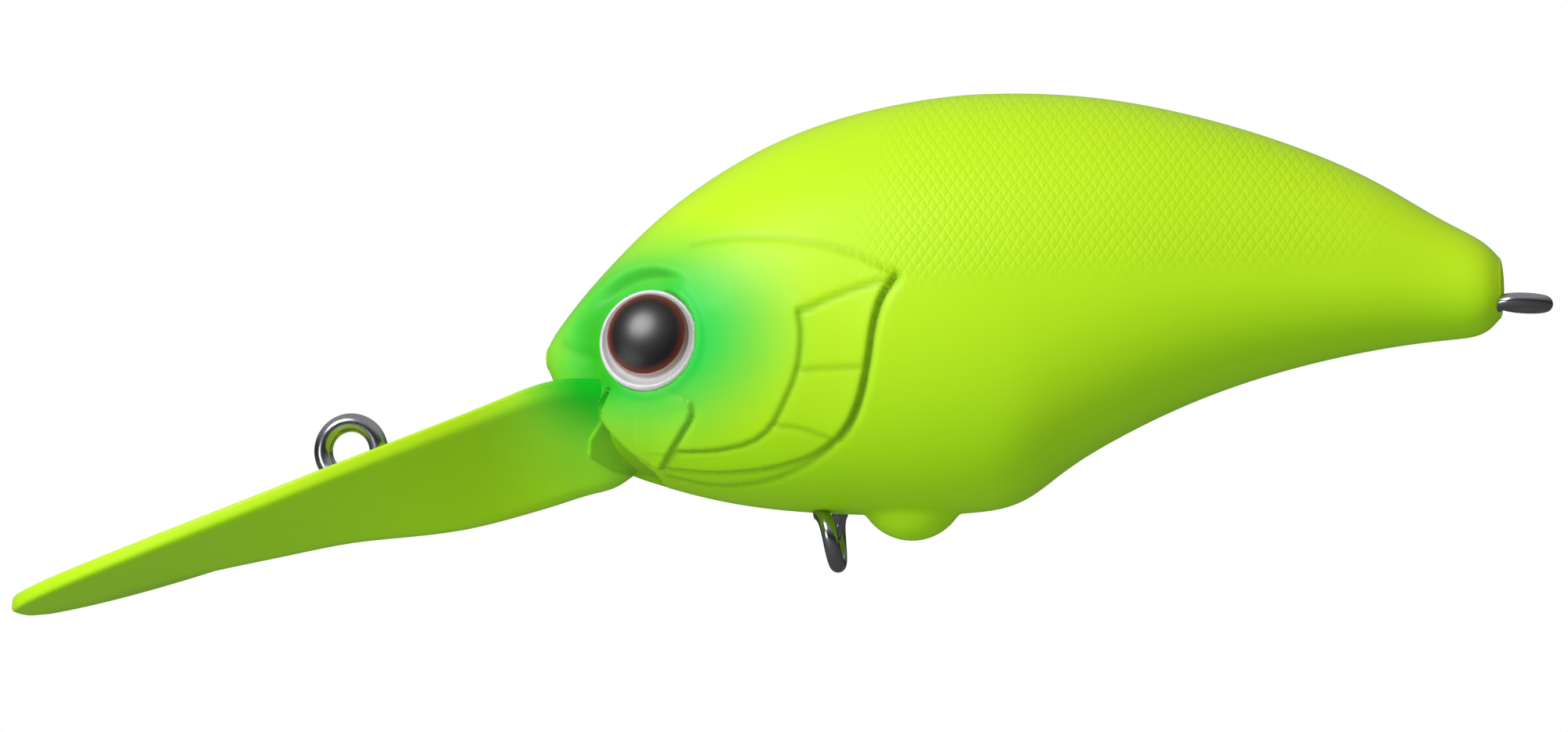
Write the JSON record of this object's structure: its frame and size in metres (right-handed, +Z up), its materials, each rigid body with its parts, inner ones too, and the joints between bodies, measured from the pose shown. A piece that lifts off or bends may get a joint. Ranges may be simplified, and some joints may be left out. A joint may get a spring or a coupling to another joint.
{
  "type": "fishing lure",
  "caption": "Deep-diving crankbait: a hollow two-part fish body with a long sloping bill, wire line tie and hook hangers, domed eyes, ballast and rattle balls.",
  "frame": {"origin": "centre of the line-tie eye's loop", "axes": "+X from the tail towards the nose and the tip of the bill, +Y to the lure's left, +Z up through the back"},
  "size_m": [0.0982, 0.0208, 0.0327],
  "materials": {
    "body_paint": "satin",
    "bill_paint": "satin",
    "stainless_wire": "bright",
    "eye_foil": "bright",
    "pupil_print": "gloss",
    "eye_lens": "gloss",
    "ballast_metal": "plain",
    "steel_ball": "polished"
  },
  "bodies": {
    "lure": {"body_shell_left": "body_paint", "body_shell_right": "body_paint", "diving_bill": "bill_paint", "line_tie_eye": "stainless_wire", "belly_hook_hanger": "stainless_wire", "tail_hook_hanger": "stainless_wire", "eye_foil_left": "eye_foil", "eye_pupil_left": "pupil_print", "eye_lens_left": "eye_lens", "eye_foil_right": "eye_foil", "eye_pupil_right": "pupil_print", "eye_lens_right": "eye_lens", "throat_ballast_slug": "ballast_metal", "belly_ballast_ball": "steel_ball"},
    "knocker_ball": {"rattle_ball_knocker": "steel_ball"},
    "midship_ball": {"rattle_ball_midship": "steel_ball"},
    "tail_ball": {"rattle_ball_tail": "steel_ball"},
    "back_ball": {"rattle_ball_back": "steel_ball"},
    "rear_ball": {"rattle_ball_rear": "steel_ball"}
  },
  "joints": [
    {"name": "knocker_roll", "type": "slide", "parent": "lure", "child": "knocker_ball", "axis": [0, 1, 0], "range_m": [-0.00385, 0.00385]},
    {"name": "midship_roll", "type": "slide", "parent": "lure", "child": "midship_ball", "axis": [0, 1, 0], "range_m": [-0.00375, 0.00375]},
    {"name": "tail_roll", "type": "slide", "parent": "lure", "child": "tail_ball", "axis": [0, 1, 0], "range_m": [-0.00135, 0.00135]},
    {"name": "back_roll", "type": "slide", "parent": "lure", "child": "back_ball", "axis": [1, 0, 0], "range_m": [-0.00385, 0.00385]},
    {"name": "rear_roll", "type": "slide", "parent": "lure", "child": "rear_ball", "axis": [1, 0, 0], "range_m": [-0.00255, 0.00255]}
  ]
}
